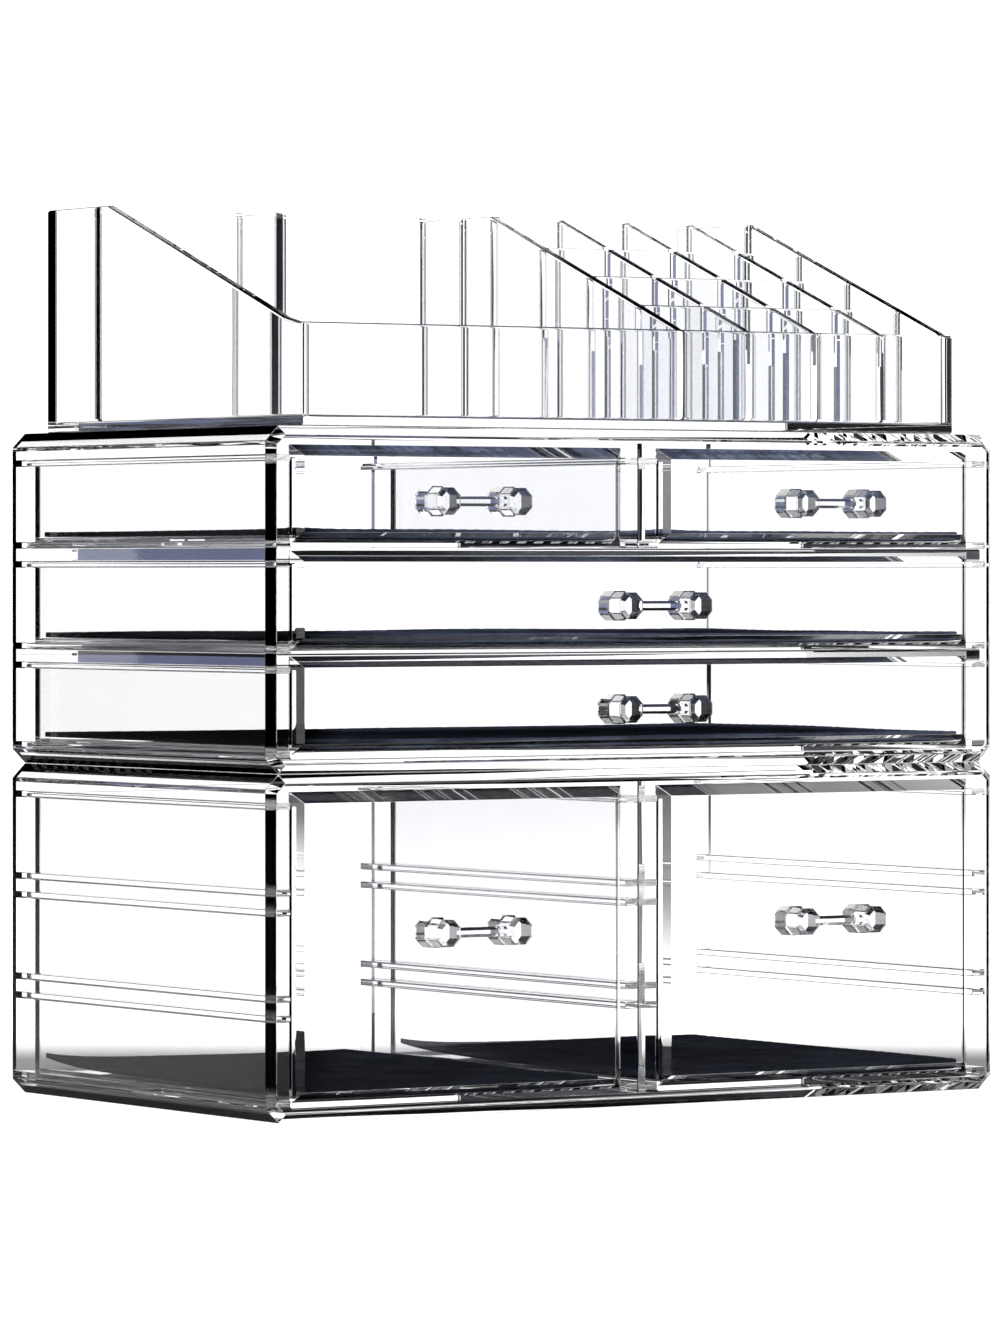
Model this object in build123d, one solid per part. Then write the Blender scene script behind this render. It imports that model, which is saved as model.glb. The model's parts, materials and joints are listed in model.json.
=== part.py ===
from build123d import *
import os

os.makedirs("parts", exist_ok=True)

# ---------------------------------------------------------------- dimensions
# Clear stacking organizer: a lower cabinet, an upper cabinet and a top tray.
# Origin: centre of the lower cabinet's resting face. +Z up, front faces -Y.
CAB_W = 240.0          # cabinet width (X)
CAB_D = 140.4          # cabinet depth (Y)
CAB_H = 92.3           # height of one cabinet
STACK_GAP = 0.1        # air film between stacked pieces
WALL = 2.6             # cabinet side and back walls
PLATE = 3.6            # cabinet top and bottom plates
LONG_CH = 4.0          # bevel along the four long edges
RIM_CH = 2.3           # bevel round the front and rear rims

RAIL_OUT = 4.6         # side rails stand this far into the bay
RAIL_T = 1.9           # rail thickness
# top face of each rail, measured down from the cabinet's top
RAIL_LEVELS = (7.5, 30.4, 35.7, 58.5, 63.8, 86.1)
RAIL_FRONT = 1.4       # rails start this far behind the front plane
RAIL_R = 0.5           # rounding along a rail's free edges
EDGE_R = 0.3           # rounding of the moulded outer edges
MOUTH_R = 0.6          # rounding of the front opening's inner edge

SHELF_T = 3.2
SHELF_LEVELS = (32.4, 60.5)     # top face of each shelf, down from the top
SHELF_FRONT = 3.6               # shelves end behind the drawer fronts
DIV_T = 2.6            # centre divider plate
DIV_RAIL = 4.0         # its rails stand this far out on both sides
DIV_FRONT = 1.35

JOIN = 0.05            # glue line between pieces of one cabinet or tray

# drawers
DR_X1 = 112.1          # outer edge of the drawer fronts
DR_X0 = 5.9            # inner edge of the half-width drawer fronts
BODY_IN = 0.2          # drawer body is this much narrower each side
FRONT_T = 3.4          # thickness of the front panel
FRONT_BEVEL = 3.0      # 45 degree bevel round the front panel
DR_WALL = 1.5
DR_FLOOR = 2.4
DR_REAR = 67.2         # rear face of every drawer
DR_CORNER = 0.8        # outer upright corners at the back
DR_FOOT_R = 0.7        # rounding round the drawer's floor, outside
DR_COVE_R = 0.8        # and inside
ROW_PITCH = 28.1
SM_BODY = (8.3, 32.25)          # small drawer body, down from the top
SM_PANEL = (4.9, 31.2)          # small drawer front panel
LG_BODY = (8.3, 88.55)          # large drawer body
LG_PANEL = (4.7, 87.4)

# handles: two octagonal knobs joined by a bar
KNOB_PITCH = 23.0
KNOB_BASE = 8.1        # across flats
KNOB_TIP = 7.3
KNOB_BASE_L = 5.2
KNOB_L = 11.5
BAR_D = 2.7
BAR_OUT = 8.3          # bar centre, out from the drawer front
HANDLE_DROP_SMALL = -1.8
HANDLE_RISE_LARGE = 3.3

PAD_T = 3.0            # space the loose liner takes up on the floor of a small drawer
PAD_T_LARGE = 5.0      # and of a large one, where its corners curl up further
PAD_MARGIN = 1.0

# tray
TR_X = 107.7           # half width
TR_Y0, TR_Y1 = -66.8, 70.0
TR_WALL = 2.6
TR_FLOOR = 2.5
TR_INNER = 2.4         # inner plates
TR_CORNER = 0.7        # outer upright corners
TR_COVE = 0.9          # cove where the floor meets the walls
TR_FOOT_R = 0.6
LIP_R = 0.8            # rounding of the top edges
FLARE = 1.4            # plates spread by this much where they meet a wall
TR_FRONT_Z = 212.5
TR_TOP_Z = 247.6
SLOPE_LEFT = 36.0      # where each sloped top edge starts
SLOPE_GRID = 30.0
EASE = ((-57.5, 213.9), (-62.0, 213.5))   # where the slope eases: left wall, grid
CROSS_Y = 44.0         # front wall of the two tall compartments
TALL_DIV_X = -46.2
GRID_X0 = 16.0
GRID_PITCH_X = 22.6
GRID_BACK_Y = 29.8
GRID_CROSS_Y = (4.3, -19.5, -43.4)

YF = -CAB_D / 2
YB = CAB_D / 2
Z_UP = CAB_H + STACK_GAP
Z_TRAY = 2 * CAB_H + 2 * STACK_GAP


def box(x0, x1, y0, y1, z0, z1):
    return Pos((x0 + x1) / 2, (y0 + y1) / 2, (z0 + z1) / 2) * Box(
        abs(x1 - x0), abs(y1 - y0), abs(z1 - z0))


def profile_xz(points, y0, y1):
    """Closed polygon in X and Z, drawn out from y0 to y1."""
    pl = Plane(origin=(0, y0, 0), x_dir=(1, 0, 0), z_dir=(0, -1, 0))
    wire = Polyline(*[pl.from_local_coords((x, z)) for x, z in points], close=True)
    return extrude(Face(Wire(wire.edges())), amount=abs(y1 - y0), dir=(0, 1, 0))


def profile_yz(points, x0, x1):
    """Closed polygon in Y and Z, drawn out from x0 to x1."""
    wire = Polyline(*[(x0, y, z) for y, z in points], close=True)
    return extrude(Face(Wire(wire.edges())), amount=abs(x1 - x0), dir=(1, 0, 0))


def bevelled(hw, z0, z1, c, y0, y1):
    pts = [(-hw + c, z0), (hw - c, z0), (hw, z0 + c), (hw, z1 - c),
           (hw - c, z1), (-hw + c, z1), (-hw, z1 - c), (-hw, z0 + c)]
    return profile_xz(pts, y0, y1)


def save(shape, name):
    solids = shape.solids()
    assert len(solids) == 1, (name, len(solids))
    export_step(solids[0], f"parts/{name}.step")


# ---------------------------------------------------------------- cabinets
def shell(z0):
    """Open-fronted case with side rails, moulded in one piece."""
    z1 = z0 + CAB_H
    s = bevelled(CAB_W / 2, z0, z1, LONG_CH, YF, YB)
    rims = [e for e in s.edges()
            if abs(e.center().Y - YF) < 1e-3 or abs(e.center().Y - YB) < 1e-3]
    s = chamfer(rims, RIM_CH)
    s = fillet(s.edges(), EDGE_R)
    s -= bevelled(CAB_W / 2 - WALL, z0 + PLATE, z1 - PLATE, 1.5, YF - 1, YB - WALL)
    mouth = bevelled(CAB_W / 2 - WALL + MOUTH_R, z0 + PLATE - MOUTH_R, z1 - PLATE + MOUTH_R,
                     1.5 + MOUTH_R, YF - 1, YF + MOUTH_R)
    s -= chamfer([e for e in mouth.edges() if abs(e.center().Y - YF - MOUTH_R) < 1e-3],
                 MOUTH_R * 0.98)
    for side in (-1, 1):
        xo = side * (CAB_W / 2 - WALL / 2)
        xi = side * (CAB_W / 2 - WALL - RAIL_OUT)
        for lv in RAIL_LEVELS:
            rail = box(min(xo, xi), max(xo, xi), YF + RAIL_FRONT, YB - WALL / 2,
                       z1 - lv - RAIL_T, z1 - lv)
            s += fillet([e for e in rail.edges().filter_by(Axis.Y)
                         if abs(e.center().X - xi) < 1e-3], RAIL_R)
    return s


def divider(z_top, z_bot, top_ref, levels):
    s = box(-DIV_T / 2, DIV_T / 2, YF + DIV_FRONT, YB - WALL - JOIN, z_bot, z_top)
    s = fillet([e for e in s.edges().filter_by(Axis.Z) if e.center().Y < 0], 0.4)
    for lv in levels:
        rail = box(-DIV_T / 2 - DIV_RAIL, DIV_T / 2 + DIV_RAIL, YF + DIV_FRONT + 0.4,
                   YB - WALL - JOIN, top_ref - lv - RAIL_T, top_ref - lv)
        s += fillet(rail.edges().filter_by(Axis.Y), RAIL_R)
    return s


def drawer(x0, x1, top, body, panel, row=0):
    """Open-topped box with a thick bevelled front, moulded in one piece."""
    dz = row * ROW_PITCH
    zb0, zb1 = top - body[1] - dz, top - body[0] - dz
    zp0, zp1 = top - panel[1] - dz, top - panel[0] - dz
    front = box(x0, x1, YF, YF + FRONT_T, zp0, zp1)
    rim = [e for e in front.edges() if abs(e.center().Y - YF) < 1e-3]
    front = chamfer(rim, FRONT_BEVEL)
    front = fillet([e for e in front.edges() if e.center().Y < YF + FRONT_T - 0.1], 0.18)
    b = box(x0 + BODY_IN, x1 - BODY_IN, YF + FRONT_T - 0.6, DR_REAR, zb0, zb1)
    b = fillet([e for e in b.edges().filter_by(Axis.Z) if e.center().Y > 0], DR_CORNER)
    b = fillet([e for e in b.edges() if abs(e.center().Z - zb0) < 1e-3
                and e.center().Y > YF + FRONT_T], DR_FOOT_R)
    inner = box(x0 + BODY_IN + DR_WALL, x1 - BODY_IN - DR_WALL, YF + FRONT_T,
                DR_REAR - DR_WALL, zb0 + DR_FLOOR, zb1 + 5)
    inner = fillet(inner.edges().filter_by(Axis.Z), 0.9)
    inner = fillet([e for e in inner.edges() if abs(e.center().Z - zb0 - DR_FLOOR) < 1e-3],
                   DR_COVE_R)
    b -= inner
    b = fillet([e for e in b.edges() if abs(e.center().Z - zb1) < 1e-3
                and e.center().Y > YF + FRONT_T - 0.1], 0.4)
    return front + b


def pad(x0, x1, top, body, t, row=0):
    z = top - body[1] - row * ROW_PITCH + DR_FLOOR + JOIN
    m = BODY_IN + DR_WALL + PAD_MARGIN
    return box(x0 + m, x1 - m, YF + FRONT_T + PAD_MARGIN, DR_REAR - DR_WALL - PAD_MARGIN,
               z, z + t)


def octagon(x, z, across, y_from, length):
    pl = Plane(origin=(x, y_from, z), x_dir=(1, 0, 0), z_dir=(0, -1, 0))
    sk = pl * RegularPolygon(across / 2, 8, major_radius=False, rotation=22.5)
    return extrude(sk, amount=length, dir=(0, -1, 0))


def handle(xc, zc):
    """Two faceted knobs and the bar between them, one moulding."""
    y0 = YF - JOIN
    s = None
    for x in (xc - KNOB_PITCH / 2, xc + KNOB_PITCH / 2):
        base = octagon(x, zc, KNOB_BASE, y0, KNOB_BASE_L)
        base = chamfer([e for e in base.edges()
                        if abs(e.center().Y - (y0 - KNOB_BASE_L)) < 1e-3], 0.35)
        tip = octagon(x, zc, KNOB_TIP, y0 - KNOB_BASE_L + 0.5, KNOB_L - KNOB_BASE_L + 0.5)
        tip = chamfer([e for e in tip.edges()
                       if abs(e.center().Y - (y0 - KNOB_L)) < 1e-3], 0.9)
        s = base + tip if s is None else s + base + tip
    bar = extrude(Plane(origin=(xc - KNOB_PITCH / 2, y0 - BAR_OUT, zc), x_dir=(0, 1, 0),
                        z_dir=(1, 0, 0)) * RegularPolygon(BAR_D / 2, 8, major_radius=False,
                                                          rotation=22.5),
                  amount=KNOB_PITCH)
    return s + bar


TOP_L = CAB_H
TOP_U = Z_UP + CAB_H

save(shell(0.0), "lower_shell")
save(divider(TOP_L - PLATE - JOIN, PLATE + JOIN, TOP_L, RAIL_LEVELS), "lower_divider")
save(shell(Z_UP), "upper_shell")
save(divider(TOP_U - PLATE - JOIN, TOP_U - SHELF_LEVELS[0] + JOIN, TOP_U, (7.5, 30.15)),
     "upper_divider")
for i, lv in enumerate(SHELF_LEVELS):
    hw = CAB_W / 2 - WALL - 0.1
    sh = box(-hw, hw, YF + SHELF_FRONT, YB - WALL - JOIN, TOP_U - lv - SHELF_T, TOP_U - lv)
    sh = chamfer([e for e in sh.edges().filter_by(Axis.X) if e.center().Y < 0], 0.4)
    save(sh, f"upper_shelf_{i + 1}")

LEFT = (-DR_X1, -DR_X0)
RIGHT = (DR_X0, DR_X1)
WIDE = (-DR_X1, DR_X1)
DRAWERS = {
    "large_left": (LEFT, TOP_L, LG_BODY, LG_PANEL, 0, HANDLE_RISE_LARGE),
    "large_right": (RIGHT, TOP_L, LG_BODY, LG_PANEL, 0, HANDLE_RISE_LARGE),
    "small_left": (LEFT, TOP_U, SM_BODY, SM_PANEL, 0, HANDLE_DROP_SMALL),
    "small_right": (RIGHT, TOP_U, SM_BODY, SM_PANEL, 0, HANDLE_DROP_SMALL),
    "wide_middle": (WIDE, TOP_U, SM_BODY, SM_PANEL, 1, HANDLE_DROP_SMALL),
    "wide_bottom": (WIDE, TOP_U, SM_BODY, SM_PANEL, 2, HANDLE_DROP_SMALL),
}
for name, ((x0, x1), top, body, panel, row, dz) in DRAWERS.items():
    save(drawer(x0, x1, top, body, panel, row), f"drawer_{name}")
    save(pad(x0, x1, top, body, PAD_T_LARGE if name.startswith("large") else PAD_T, row),
         f"pad_{name}")
    zc = top - (panel[0] + panel[1]) / 2 - row * ROW_PITCH + dz
    save(handle((x0 + x1) / 2, zc), f"handle_{name}")

# ---------------------------------------------------------------- top tray
ZF = Z_TRAY + TR_FLOOR          # floor of the tray
TR_LEVEL = TR_Y0 + TR_WALL      # the side walls stay level across the front wall's thickness


def slope_z(y, start, ease):
    """Height of a sloped top edge at depth y."""
    ye, ze = ease
    if y >= start:
        return TR_TOP_Z
    if y >= ye:
        return ze + (TR_TOP_Z - ze) * (y - ye) / (start - ye)
    return TR_FRONT_Z + (ze - TR_FRONT_Z) * max(0.0, y - TR_LEVEL) / (ye - TR_LEVEL)


def above_slope(x0, x1, start, ease):
    """Everything over a sloped top edge."""
    return profile_yz([(TR_Y0 - 5, TR_FRONT_Z), (TR_LEVEL, TR_FRONT_Z), ease, (start, TR_TOP_Z),
                       (start, TR_TOP_Z + 5), (TR_Y0 - 5, TR_TOP_Z + 5)], x0, x1)


outer = box(-TR_X, TR_X, TR_Y0, TR_Y1, Z_TRAY, TR_TOP_Z)
outer = fillet(outer.edges().filter_by(Axis.Z), TR_CORNER)
outer = fillet([e for e in outer.edges() if abs(e.center().Z - Z_TRAY) < 1e-3], TR_FOOT_R)
inner = box(-TR_X + TR_WALL, TR_X - TR_WALL, TR_LEVEL, TR_Y1 - TR_WALL, ZF, TR_TOP_Z + 5)
inner = fillet(inner.edges().filter_by(Axis.Z), TR_COVE + 0.2)
inner = fillet([e for e in inner.edges() if abs(e.center().Z - ZF) < 1e-3], TR_COVE)
tray = outer - inner
# cut the side walls to their slopes, and the front wall to its height
tray -= above_slope(-TR_X - 1, -TR_X + TR_WALL + 3, SLOPE_LEFT, EASE[0])
tray -= above_slope(TR_X - TR_WALL - 3, TR_X + 1, SLOPE_GRID, EASE[1])
tray -= box(-TR_X + TR_WALL + 2, TR_X - TR_WALL - 2, TR_Y0 - 1, TR_LEVEL + 2,
            TR_FRONT_Z, TR_TOP_Z + 5)
lips = []
for e in tray.edges():
    z = [v.Z for v in e.vertices()]
    if min(z) > TR_FRONT_Z - 0.01 and e.length > 3:
        lips.append(e)
tray = fillet(lips, LIP_R)
save(tray, "tray_shell")

G = EASE[1]
xr = TR_X - TR_WALL - JOIN
yf = TR_LEVEL + JOIN
yr = TR_Y1 - TR_WALL - JOIN
t2 = TR_INNER / 2
zf = ZF + JOIN
# strip kept clear for the cove along the foot of the walls
cove_strip = (box(-xr - 1, xr + 1, yf - 1, yr + 1, ZF - 1, ZF + TR_COVE + 0.2)
              - box(-xr + TR_COVE + 0.1, xr - TR_COVE - 0.1, yf + TR_COVE + 0.1,
                    yr - TR_COVE - 0.1, ZF - 2, ZF + 5))


def plate(along, c, a, b, top, fa=FLARE, fb=FLARE, cut=None):
    """Upright plate on the line c, from a to b, that flares where its ends meet a wall."""
    def at(u, v, z=zf):
        return (c + v, u, z) if along == "Y" else (u, c + v, z)

    def arc(u0, v0, u1, v1, uc, vc):
        k = 0.5 ** 0.5
        r = abs(u1 - u0)
        su, sv = (1 if u0 + u1 > 2 * uc else -1), (1 if v0 + v1 > 2 * vc else -1)
        return Edge.make_three_point_arc(at(u0, v0), at(uc + su * r * k, vc + sv * r * k),
                                         at(u1, v1))

    line = Edge.make_line
    t = t2
    edges = [
        line(at(a, -t - fa), at(a, t + fa)), arc(a, t + fa, a + fa, t, a + fa, t + fa),
        line(at(a + fa, t), at(b - fb, t)), arc(b - fb, t, b, t + fb, b - fb, t + fb),
        line(at(b, t + fb), at(b, -t - fb)), arc(b, -t - fb, b - fb, -t, b - fb, -t - fb),
        line(at(b - fb, -t), at(a + fa, -t)), arc(a + fa, -t, a, -t - fa, a + fa, -t - fa)]
    s = extrude(Face(Wire(edges)), amount=top - zf, dir=(0, 0, 1))
    if cut:
        s -= above_slope(c - 5, c + 5, *cut)
    rims = []
    for e in s.edges():
        m = e.center()
        v = m.X - c if along == "Y" else m.Y - c
        if min(p.Z for p in e.vertices()) > zf + 5 and abs(abs(v) - t) < 1e-3 and \
                abs(e.tangent_at(0.5).Z) < 0.9:
            rims.append(e)
    s = fillet(rims, LIP_R)
    return s - cove_strip


# long partition between the open compartment and the lipstick grid
save(plate("Y", GRID_X0, yf, yr, TR_TOP_Z, cut=(SLOPE_GRID, G)), "tray_partition")
# front wall of the tall compartments, and the divider between them
save(plate("X", CROSS_Y, -xr, GRID_X0 - t2 - JOIN, TR_TOP_Z), "tray_cross_wall")
save(plate("Y", TALL_DIV_X, CROSS_Y + t2 + JOIN, yr, TR_TOP_Z), "tray_rear_divider")
# grid: rear wall, three cross plates notched from below, three long plates from above
gx0 = GRID_X0 + t2 + JOIN
save(plate("X", GRID_BACK_Y, gx0, xr, TR_TOP_Z), "lipstick_rear_wall")
long_x = [GRID_X0 + GRID_PITCH_X * i for i in (1, 2, 3)]
laps = [(y, (zf + slope_z(y, SLOPE_GRID, G)) / 2) for y in GRID_CROSS_Y]
for i, (y, zm) in enumerate(laps):
    s = plate("X", y, gx0, xr, slope_z(y, SLOPE_GRID, G) - 0.3, fa=1.0, fb=1.0)
    for x in long_x:
        s -= box(x - t2 - JOIN, x + t2 + JOIN, y - t2 - 1, y + t2 + 1, zf - 1, zm)
    save(s, f"lipstick_cross_{i + 1}")
for i, x in enumerate(long_x):
    s = plate("Y", x, yf, GRID_BACK_Y - t2 - JOIN, TR_TOP_Z, fa=1.0, fb=1.0, cut=(SLOPE_GRID, G))
    for y, zm in laps:
        s -= box(x - t2 - 1, x + t2 + 1, y - t2 - JOIN, y + t2 + JOIN, zm - JOIN, TR_TOP_Z + 5)
    save(s, f"lipstick_long_{i + 1}")

print("total height", TR_TOP_Z, "width", CAB_W, "depth", CAB_D + KNOB_L + JOIN)
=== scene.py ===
import json
import math

import bmesh
import bpy
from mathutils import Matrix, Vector, noise


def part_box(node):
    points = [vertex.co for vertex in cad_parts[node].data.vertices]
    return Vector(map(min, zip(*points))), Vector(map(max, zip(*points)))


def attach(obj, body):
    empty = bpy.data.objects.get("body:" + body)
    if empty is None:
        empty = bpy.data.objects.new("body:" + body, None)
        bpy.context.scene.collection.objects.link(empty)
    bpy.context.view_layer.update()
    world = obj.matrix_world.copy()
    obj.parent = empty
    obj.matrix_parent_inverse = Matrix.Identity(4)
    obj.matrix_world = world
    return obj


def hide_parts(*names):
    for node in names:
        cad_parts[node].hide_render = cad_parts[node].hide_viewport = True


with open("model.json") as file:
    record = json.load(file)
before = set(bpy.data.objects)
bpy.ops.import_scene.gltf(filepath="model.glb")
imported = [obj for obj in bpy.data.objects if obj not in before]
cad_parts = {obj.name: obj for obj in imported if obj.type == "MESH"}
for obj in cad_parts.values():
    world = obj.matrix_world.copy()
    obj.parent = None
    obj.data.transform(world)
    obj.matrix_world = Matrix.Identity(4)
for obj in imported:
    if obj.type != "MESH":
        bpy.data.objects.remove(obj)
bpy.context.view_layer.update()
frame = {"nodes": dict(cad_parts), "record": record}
scene = bpy.context.scene
nodes = frame["nodes"]
record = frame["record"]
body_of = {n: b for b, ns in record["behaviour"]["bodies"].items() for n in ns}

# ------------------------------------------------------------------ camera
# level camera, to the left and in front of the object
YAW = math.radians(33.28)
cam_data = bpy.data.cameras.new("photo_camera")
cam = bpy.data.objects.new("photo_camera", cam_data)
scene.collection.objects.link(cam)
cam.location = (-1.10885, -1.68755, 0.1463)
cam.rotation_euler = (math.pi / 2, 0, -YAW)
cam_data.sensor_fit = "AUTO"
cam_data.sensor_width = 36
cam_data.lens = 7175.2 * 36 / 1333
cam_data.shift_y = -(666.5 - 570.6) / 1333
cam_data.clip_start, cam_data.clip_end = 0.01, 100
cam_data.dof.use_dof = False
scene.camera = cam

# ------------------------------------------------------------------ light
scene.view_settings.view_transform = "Standard"
scene.view_settings.look = "None"
scene.view_settings.exposure = 0
scene.cycles.max_bounces = 64
scene.cycles.transmission_bounces = 56
scene.cycles.glossy_bounces = 24
scene.cycles.diffuse_bounces = 3
scene.cycles.transparent_max_bounces = 16
scene.cycles.caustics_reflective = False
scene.cycles.caustics_refractive = False
scene.cycles.sample_clamp_indirect = 4.0
scene.cycles.use_denoising = True
scene.cycles.denoiser = "OPENIMAGEDENOISE"

world = bpy.data.worlds.new("studio")
scene.world = world
world.use_nodes = True
nt = world.node_tree
nt.nodes.clear()


def wmath(op, a, b=None, c=None):
    n = nt.nodes.new("ShaderNodeMath")
    n.operation = op
    for k, v in enumerate((a, b, c)):
        if v is None:
            continue
        if isinstance(v, (int, float)):
            n.inputs[k].default_value = v
        else:
            nt.links.new(v, n.inputs[k])
    return n.outputs[0]


def fade(value, start, end, v0, v1):
    n = nt.nodes.new("ShaderNodeMapRange")
    n.interpolation_type = "SMOOTHSTEP"
    n.inputs["From Min"].default_value = start
    n.inputs["From Max"].default_value = end
    n.inputs["To Min"].default_value = v0
    n.inputs["To Max"].default_value = v1
    nt.links.new(value, n.inputs["Value"])
    return n.outputs[0]


tc = nt.nodes.new("ShaderNodeTexCoord")
sep = nt.nodes.new("ShaderNodeSeparateXYZ")
nt.links.new(tc.outputs["Generated"], sep.inputs[0])
dx, dy, dz = sep.outputs
turn = wmath("ARCTAN2", dx, dy)


def card(centre, half, soft, value):
    """A bright wall in one direction: half its width and its soft edge in degrees."""
    o = wmath("WRAP", wmath("SUBTRACT", turn, math.radians(centre)), math.pi, -math.pi)
    return fade(wmath("ABSOLUTE", o), math.radians(half), math.radians(half + soft), value, 0.0)


# a wide bright wall behind the object, with dark gaps beside it, so that edges draw black
field = card(38, 22, 8, 1.4)
lp = nt.nodes.new("ShaderNodeLightPath")
# more walls, for looking at the object from its other sides: seen through it only
WALLS = ((90, 5, 3), (126, 13, 5), (180, 5, 3), (218, 14, 6), (270, 5, 3), (306, 11, 4))
others = None
for centre, half, soft in WALLS:
    one = card(centre, half, soft, 1.3)
    others = one if others is None else wmath("MAXIMUM", others, one)
others = wmath("MULTIPLY", others, lp.outputs["Is Transmission Ray"])
field = wmath("MULTIPLY", wmath("MAXIMUM", field, others), fade(dz, 0.20, 0.38, 1.0, 0.0))
level = wmath("MAXIMUM", field, lp.outputs["Is Camera Ray"])
# a blue card behind the camera, mirrored faintly by the drawer fronts
blue = wmath("MULTIPLY", card(146.7, 10, 6, 0.7), fade(dz, 0.12, 0.25, 1.0, 0.0))
blue = wmath("MULTIPLY", blue, lp.outputs["Is Glossy Ray"])


def flat_colour(colour, strength):
    n = nt.nodes.new("ShaderNodeBackground")
    n.inputs["Color"].default_value = (*colour, 1)
    nt.links.new(strength, n.inputs["Strength"])
    return n.outputs[0]


def add(a, b):
    n = nt.nodes.new("ShaderNodeAddShader")
    nt.links.new(a, n.inputs[0])
    nt.links.new(b, n.inputs[1])
    return n.outputs[0]


# the dark parts of the studio are not even: soft grey streaks
streak = nt.nodes.new("ShaderNodeTexNoise")
streak.inputs["Scale"].default_value = 13.0
streak.inputs["Detail"].default_value = 3.0
nt.links.new(tc.outputs["Generated"], streak.inputs["Vector"])
grey = fade(streak.outputs["Fac"], 0.42, 0.72, 0.010, 0.12)
grey = wmath("MULTIPLY", grey, lp.outputs["Is Transmission Ray"])
ambient = nt.nodes.new("ShaderNodeBackground")
ambient.inputs["Color"].default_value = (0.86, 0.88, 1.0, 1)
nt.links.new(grey, ambient.inputs["Strength"])
out = nt.nodes.new("ShaderNodeOutputWorld")
nt.links.new(add(add(flat_colour((1, 1, 1), level), flat_colour((0.20, 0.23, 0.40), blue)),
                 ambient.outputs[0]), out.inputs["Surface"])


def lamp(name, loc, target, size, power, diffuse_only=True):
    ld = bpy.data.lights.new(name, "AREA")
    ld.shape = "SQUARE"
    ld.size = size
    ld.energy = power
    lo = bpy.data.objects.new(name, ld)
    scene.collection.objects.link(lo)
    lo.location = loc
    lo.rotation_euler = (Vector(target) - Vector(loc)).to_track_quat("-Z", "Y").to_euler()
    lo.visible_camera = False
    if diffuse_only:
        lo.visible_glossy = False
        lo.visible_transmission = False
    return lo


lamp("overhead_softbox", (0.0, 0.1, 1.7), (0, 0, 0), 2.4, 60)
lamp("left_softbox", (-1.6, -0.9, 1.0), (0, 0, 0.1), 1.2, 14)
lamp("right_softbox", (1.6, -0.9, 1.0), (0, 0, 0.1), 1.2, 10)


# ------------------------------------------------------------------ materials
def new_mat(name):
    m = bpy.data.materials.new(name)
    m.use_nodes = True
    t = m.node_tree
    b = t.nodes["Principled BSDF"]
    return m, t, b


def clear(name, tint, wave=0.012, wave_scale=26.0, rough=0.0, seed=0.0, fine=0.0):
    """Clear moulded plastic: refracts, with the faint waviness and handling marks of a moulded wall."""
    m, t, b = new_mat(name)
    b.inputs["Transmission Weight"].default_value = 1.0
    b.inputs["IOR"].default_value = 1.49
    b.inputs["Roughness"].default_value = rough
    b.inputs["Specular Tint"].default_value = (0.12, 0.12, 0.12, 1)
    b.inputs["Base Color"].default_value = (*tint, 1)
    geo = t.nodes.new("ShaderNodeTexCoord")
    mp = t.nodes.new("ShaderNodeMapping")
    mp.inputs["Location"].default_value = (seed, seed * 0.7, seed * 1.3)
    t.links.new(geo.outputs["Object"], mp.inputs["Vector"])
    n1 = t.nodes.new("ShaderNodeTexNoise")
    n1.inputs["Scale"].default_value = wave_scale
    n1.inputs["Detail"].default_value = 1.0
    n1.inputs["Roughness"].default_value = 0.4
    t.links.new(mp.outputs[0], n1.inputs["Vector"])
    b1 = t.nodes.new("ShaderNodeBump")
    b1.inputs["Strength"].default_value = wave
    b1.inputs["Distance"].default_value = 0.002
    t.links.new(n1.outputs["Fac"], b1.inputs["Height"])
    t.links.new(b1.outputs[0], b.inputs["Normal"])
    # faint clouding of the clear plastic
    n2 = t.nodes.new("ShaderNodeTexNoise")
    n2.inputs["Scale"].default_value = 18.0
    n2.inputs["Detail"].default_value = 3.0
    t.links.new(mp.outputs[0], n2.inputs["Vector"])
    mix = t.nodes.new("ShaderNodeMix")
    mix.data_type = "RGBA"
    mix.inputs["A"].default_value = (*[c * 0.985 for c in tint], 1)
    mix.inputs["B"].default_value = (*tint, 1)
    t.links.new(n2.outputs["Fac"], mix.inputs["Factor"])
    t.links.new(mix.outputs["Result"], b.inputs["Base Color"])
    return m


MATS = {
    "cabinet_clear": clear("cabinet_clear", (0.978, 0.980, 0.987), seed=0.0),
    "drawer_clear": clear("drawer_clear", (0.984, 0.986, 0.991), seed=1.7),
    "tray_clear": clear("tray_clear", (0.982, 0.984, 0.989), wave=0.02, seed=3.1),
    "handle_crystal": clear("handle_crystal", (0.955, 0.958, 0.968), wave=0.02, seed=4.9),
}


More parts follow.
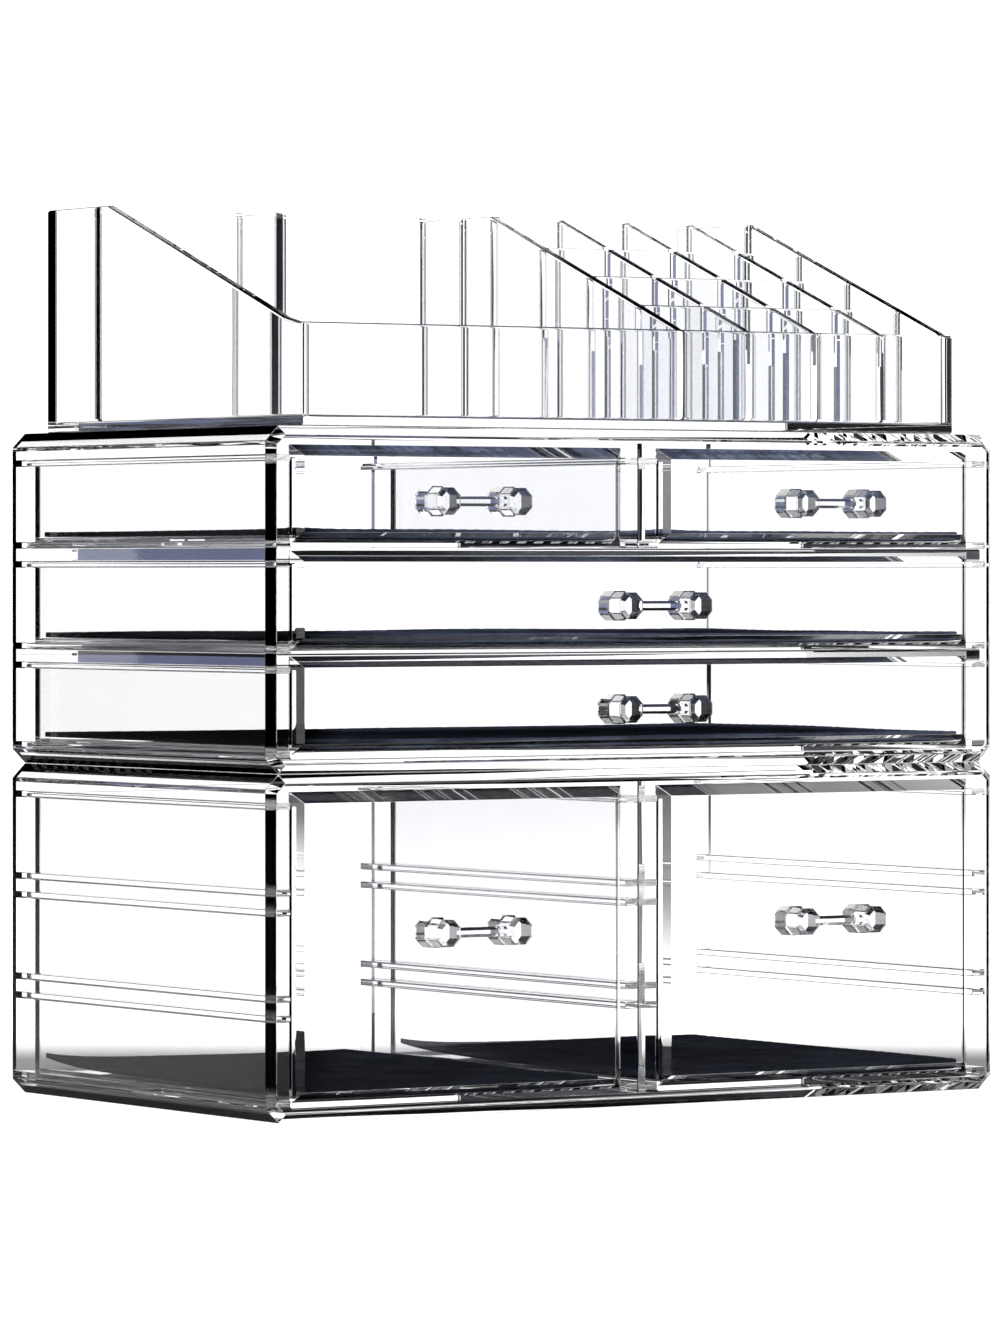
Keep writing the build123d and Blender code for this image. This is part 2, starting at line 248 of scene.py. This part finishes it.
def mesh_pad_material():
    m, t, b = new_mat("pad_mesh")
    tc = t.nodes.new("ShaderNodeTexCoord")
    mp = t.nodes.new("ShaderNodeMapping")
    mp.inputs["Rotation"].default_value = (0, 0, math.radians(45))
    t.links.new(tc.outputs["Object"], mp.inputs["Vector"])
    w1 = t.nodes.new("ShaderNodeTexWave")
    w1.wave_type = "BANDS"
    w1.bands_direction = "X"
    w1.inputs["Scale"].default_value = 90
    w2 = t.nodes.new("ShaderNodeTexWave")
    w2.wave_type = "BANDS"
    w2.bands_direction = "Y"
    w2.inputs["Scale"].default_value = 90
    t.links.new(mp.outputs[0], w1.inputs["Vector"])
    t.links.new(mp.outputs[0], w2.inputs["Vector"])
    mx = t.nodes.new("ShaderNodeMath")
    mx.operation = "MAXIMUM"
    t.links.new(w1.outputs["Fac"], mx.inputs[0])
    t.links.new(w2.outputs["Fac"], mx.inputs[1])
    ramp = t.nodes.new("ShaderNodeValToRGB")
    ramp.color_ramp.elements[0].position = 0.35
    ramp.color_ramp.elements[0].color = (0.002, 0.002, 0.003, 1)
    ramp.color_ramp.elements[1].position = 0.8
    ramp.color_ramp.elements[1].color = (0.006, 0.007, 0.011, 1)
    t.links.new(mx.outputs[0], ramp.inputs["Fac"])
    # painted reflection and sheen: towards the drawer fronts the mesh is painted slate blue, paler in the
    # upper rows and towards the right
    sp = t.nodes.new("ShaderNodeSeparateXYZ")
    t.links.new(tc.outputs["Object"], sp.inputs[0])

    def pmath(op, *vals):
        n = t.nodes.new("ShaderNodeMath")
        n.operation = op
        for k, v in enumerate(vals):
            if isinstance(v, (int, float)):
                n.inputs[k].default_value = v
            else:
                t.links.new(v, n.inputs[k])
        return n.outputs[0]

    def pfade(value, start, end, v0, v1):
        n = t.nodes.new("ShaderNodeMapRange")
        n.interpolation_type = "SMOOTHSTEP"
        for k, v in (("From Min", start), ("From Max", end), ("To Min", v0), ("To Max", v1)):
            n.inputs[k].default_value = v
        t.links.new(value, n.inputs["Value"])
        return n.outputs[0]

    forward = pmath("SUBTRACT", pmath("MULTIPLY", pmath("ADD", sp.outputs[0], 0.112), 0.836),
                    pmath("MULTIPLY", pmath("ADD", sp.outputs[1], 0.070), 0.549))
    front = pfade(forward, -0.001, 0.012, 0.0, 1.0)
    high = pfade(sp.outputs[2], 0.02, 0.09, 0.16, 1.0)
    right = pfade(sp.outputs[0], -0.11, -0.02, 0.45, 1.0)
    blotch = t.nodes.new("ShaderNodeTexNoise")
    blotch.inputs["Scale"].default_value = 70.0
    blotch.inputs["Detail"].default_value = 2.0
    t.links.new(tc.outputs["Object"], blotch.inputs["Vector"])
    patch = pfade(blotch.outputs["Fac"], 0.3, 0.7, 0.55, 1.15)
    # mask of the painted reflection: front region, upper rows and right side, broken up by noise patches
    painted_reflection = pmath("MULTIPLY", pmath("MULTIPLY", front, high), pmath("MULTIPLY", right, patch))
    cm = t.nodes.new("ShaderNodeMix")
    cm.data_type = "RGBA"
    # slate blue of the painted reflection
    cm.inputs["B"].default_value = (0.22, 0.26, 0.40, 1)
    t.links.new(ramp.outputs["Color"], cm.inputs["A"])
    t.links.new(painted_reflection, cm.inputs["Factor"])
    t.links.new(cm.outputs["Result"], b.inputs["Base Color"])
    bump = t.nodes.new("ShaderNodeBump")
    bump.inputs["Strength"].default_value = 0.6
    bump.inputs["Distance"].default_value = 0.0006
    t.links.new(mx.outputs[0], bump.inputs["Height"])
    t.links.new(bump.outputs[0], b.inputs["Normal"])
    rr = t.nodes.new("ShaderNodeMapRange")
    rr.inputs["To Min"].default_value = 0.9
    rr.inputs["To Max"].default_value = 0.55
    t.links.new(mx.outputs[0], rr.inputs["Value"])
    t.links.new(rr.outputs[0], b.inputs["Roughness"])
    b.inputs["Sheen Weight"].default_value = 0.0
    b.inputs["Specular IOR Level"].default_value = 0.0
    b.inputs["Sheen Roughness"].default_value = 0.35
    b.inputs["Sheen Tint"].default_value = (0.25, 0.32, 0.6, 1)
    return m


PAD = mesh_pad_material()

for name, obj in nodes.items():
    slot = next(s["material_slot"] for s in record["subparts"] if s["node"] == name)
    mat = MATS.get(slot, PAD)
    obj.data.materials.clear()
    obj.data.materials.append(mat)
    for p in obj.data.polygons:
        p.material_index = 0
    if slot in MATS:
        obj.visible_shadow = False


# ------------------------------------------------------------------ pads
def make_pad(node, seed):
    """A thin mesh liner lying loose on a drawer's floor: its edges wave and lift a little."""
    lo, hi = (v.copy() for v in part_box(node))
    large = "large" in node
    if node == "pad_large_left":
        hi.x -= 0.004      # cut a little short: a bare strip of floor shows beside it
    step = 0.0016
    nx = max(2, int((hi.x - lo.x) / step))
    ny = max(2, int((hi.y - lo.y) / step))
    t = 0.0014
    bm = bmesh.new()
    top, bot = [], []

    def wave(x, y):
        u, v = (x - lo.x) / (hi.x - lo.x), (y - lo.y) / (hi.y - lo.y)
        edge = min(u, 1 - u, v, 1 - v)
        lift = 0.5 + 0.5 * noise.noise(Vector((x * 22 + seed, y * 22, seed * 3)))
        rim = math.exp(-edge * 18) * (0.35 + 0.65 * (0.5 + 0.5 * noise.noise(Vector((x * 16, y * 16, seed)))))
        curl = math.exp(-math.hypot(u, 1 - v) * 7)
        if large:
            return min(1.0, 0.16 * lift + 0.34 * rim + 0.75 * curl)
        return min(1.0, 0.30 * lift + 0.70 * rim + 0.45 * math.exp(-math.hypot(u, v) * 14))

    for j in range(ny + 1):
        rt, rb = [], []
        for i in range(nx + 1):
            x = lo.x + (hi.x - lo.x) * i / nx
            y = lo.y + (hi.y - lo.y) * j / ny
            ex = 0.0005 * noise.noise(Vector((y * 40, seed, 1.3))) + 0.0004
            ey = 0.0005 * noise.noise(Vector((x * 40, seed, 7.1))) + 0.0004
            xx = x + ex * (1 if i == 0 else -1 if i == nx else 0)
            yy = y + ey * (1 if j == 0 else -1 if j == ny else 0)
            z = lo.z + 0.00005 + (hi.z - lo.z - t - 0.0001) * wave(x, y)
            a = (xx + yy) * math.pi / 0.0042
            b = (xx - yy) * math.pi / 0.0042
            ridge = 0.00018 * max(abs(math.cos(a)), abs(math.cos(b)))
            rt.append(bm.verts.new((xx, yy, min(hi.z, z + t - 0.0002 + ridge))))
            rb.append(bm.verts.new((xx, yy, z)))
        top.append(rt)
        bot.append(rb)
    for j in range(ny):
        for i in range(nx):
            bm.faces.new((top[j][i], top[j][i + 1], top[j + 1][i + 1], top[j + 1][i]))
            bm.faces.new((bot[j][i], bot[j + 1][i], bot[j + 1][i + 1], bot[j][i + 1]))
    for i in range(nx):
        bm.faces.new((bot[0][i], bot[0][i + 1], top[0][i + 1], top[0][i]))
        bm.faces.new((bot[ny][i + 1], bot[ny][i], top[ny][i], top[ny][i + 1]))
    for j in range(ny):
        bm.faces.new((bot[j + 1][0], bot[j][0], top[j][0], top[j + 1][0]))
        bm.faces.new((bot[j][nx], bot[j + 1][nx], top[j + 1][nx], top[j][nx]))
    bmesh.ops.recalc_face_normals(bm, faces=bm.faces)
    me = bpy.data.meshes.new(node + "_liner")
    bm.to_mesh(me)
    bm.free()
    for p in me.polygons:
        p.use_smooth = True
    ob = bpy.data.objects.new(node + "_liner", me)
    scene.collection.objects.link(ob)
    me.materials.append(PAD)
    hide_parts(node)
    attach(ob, body_of[node])
    return ob


for k, n in enumerate(sorted(n for n in nodes if n.startswith("pad_"))):
    make_pad(n, 11.0 + 5.3 * k)

# ------------------------------------------------------------------ floor
me = bpy.data.meshes.new("floor")
s = 12.0
me.from_pydata([(-s, -s, -0.0001), (s, -s, -0.0001), (s, s, -0.0001), (-s, s, -0.0001)], [], [(0, 1, 2, 3)])
floor = bpy.data.objects.new("floor", me)
scene.collection.objects.link(floor)
fm, ft, fb = new_mat("floor_white")
fb.inputs["Base Color"].default_value = (0.25, 0.25, 0.25, 1)
fb.inputs["Roughness"].default_value = 0.9
fb.inputs["Specular IOR Level"].default_value = 0.0


def fmath(op, a, b=None):
    n = ft.nodes.new("ShaderNodeMath")
    n.operation = op
    for k, v in enumerate((a, b)):
        if v is None:
            continue
        if isinstance(v, (int, float)):
            n.inputs[k].default_value = v
        else:
            ft.links.new(v, n.inputs[k])
    return n.outputs[0]


def ffade(value, start, end, v0, v1):
    n = ft.nodes.new("ShaderNodeMapRange")
    n.interpolation_type = "SMOOTHSTEP"
    for k, v in (("From Min", start), ("From Max", end), ("To Min", v0), ("To Max", v1)):
        n.inputs[k].default_value = v
    ft.links.new(value, n.inputs["Value"])
    return n.outputs[0]


# the floor glows as painted light for rays other than camera rays: bright behind the object and in the wall
# sectors, darker close round it as painted shade; camera rays see it plain white
ftc = ft.nodes.new("ShaderNodeTexCoord")
fsep = ft.nodes.new("ShaderNodeSeparateXYZ")
ft.links.new(ftc.outputs["Object"], fsep.inputs[0])
fx, fy, _ = fsep.outputs
# distance behind the object along the view, and how far off that line
behind = fmath("ADD", fmath("MULTIPLY", fx, math.sin(YAW)), fmath("MULTIPLY", fy, math.cos(YAW)))
beside = fmath("ABSOLUTE", fmath("SUBTRACT", fmath("MULTIPLY", fx, math.cos(YAW)),
                                 fmath("MULTIPLY", fy, math.sin(YAW))))
lit = ffade(behind, 0.12, 0.24, 0.0, 1.3)
spread = fmath("SUBTRACT", beside, fmath("MULTIPLY", behind, 0.35))
lit = fmath("MULTIPLY", lit, ffade(spread, 0.16, 0.40, 1.0, 0.0))
lit = fmath("MAXIMUM", lit, 0.004)
flp = ft.nodes.new("ShaderNodeLightPath")
# and towards the other walls
away = fmath("ARCTAN2", fx, fy)
radius = fmath("SQRT", fmath("ADD", fmath("MULTIPLY", fx, fx), fmath("MULTIPLY", fy, fy)))
sectors = None
for centre, half, soft in WALLS:
    o = ft.nodes.new("ShaderNodeMath")
    o.operation = "WRAP"
    ft.links.new(fmath("SUBTRACT", away, math.radians(centre)), o.inputs[0])
    o.inputs[1].default_value, o.inputs[2].default_value = math.pi, -math.pi
    one = ffade(fmath("ABSOLUTE", o.outputs[0]), math.radians(half - 2), math.radians(half + soft), 1.2, 0.0)
    sectors = one if sectors is None else fmath("MAXIMUM", sectors, one)
# a glowing ring of painted light round the object, for looking down through it, with gaps towards the dark
# sides
ring = ffade(radius, 1.9, 2.3, 0.9, 0.0)
for centre in (326.7, 146.7, 64):
    o = ft.nodes.new("ShaderNodeMath")
    o.operation = "WRAP"
    ft.links.new(fmath("SUBTRACT", away, math.radians(centre)), o.inputs[0])
    o.inputs[1].default_value, o.inputs[2].default_value = math.pi, -math.pi
    gap = ffade(fmath("ABSOLUTE", o.outputs[0]), math.radians(9), math.radians(13), 0.0, 1.0)
    ring = fmath("MULTIPLY", ring, gap)
sectors = fmath("MULTIPLY", fmath("MAXIMUM", sectors, ring), ffade(radius, 0.30, 0.45, 0.0, 1.0))
lit = fmath("MAXIMUM", lit, fmath("MULTIPLY", sectors, flp.outputs["Is Transmission Ray"]))
fb.inputs["Emission Color"].default_value = (1, 0.995, 0.985, 1)
ft.links.new(fmath("MAXIMUM", lit, flp.outputs["Is Camera Ray"]), fb.inputs["Emission Strength"])
me.materials.append(fm)
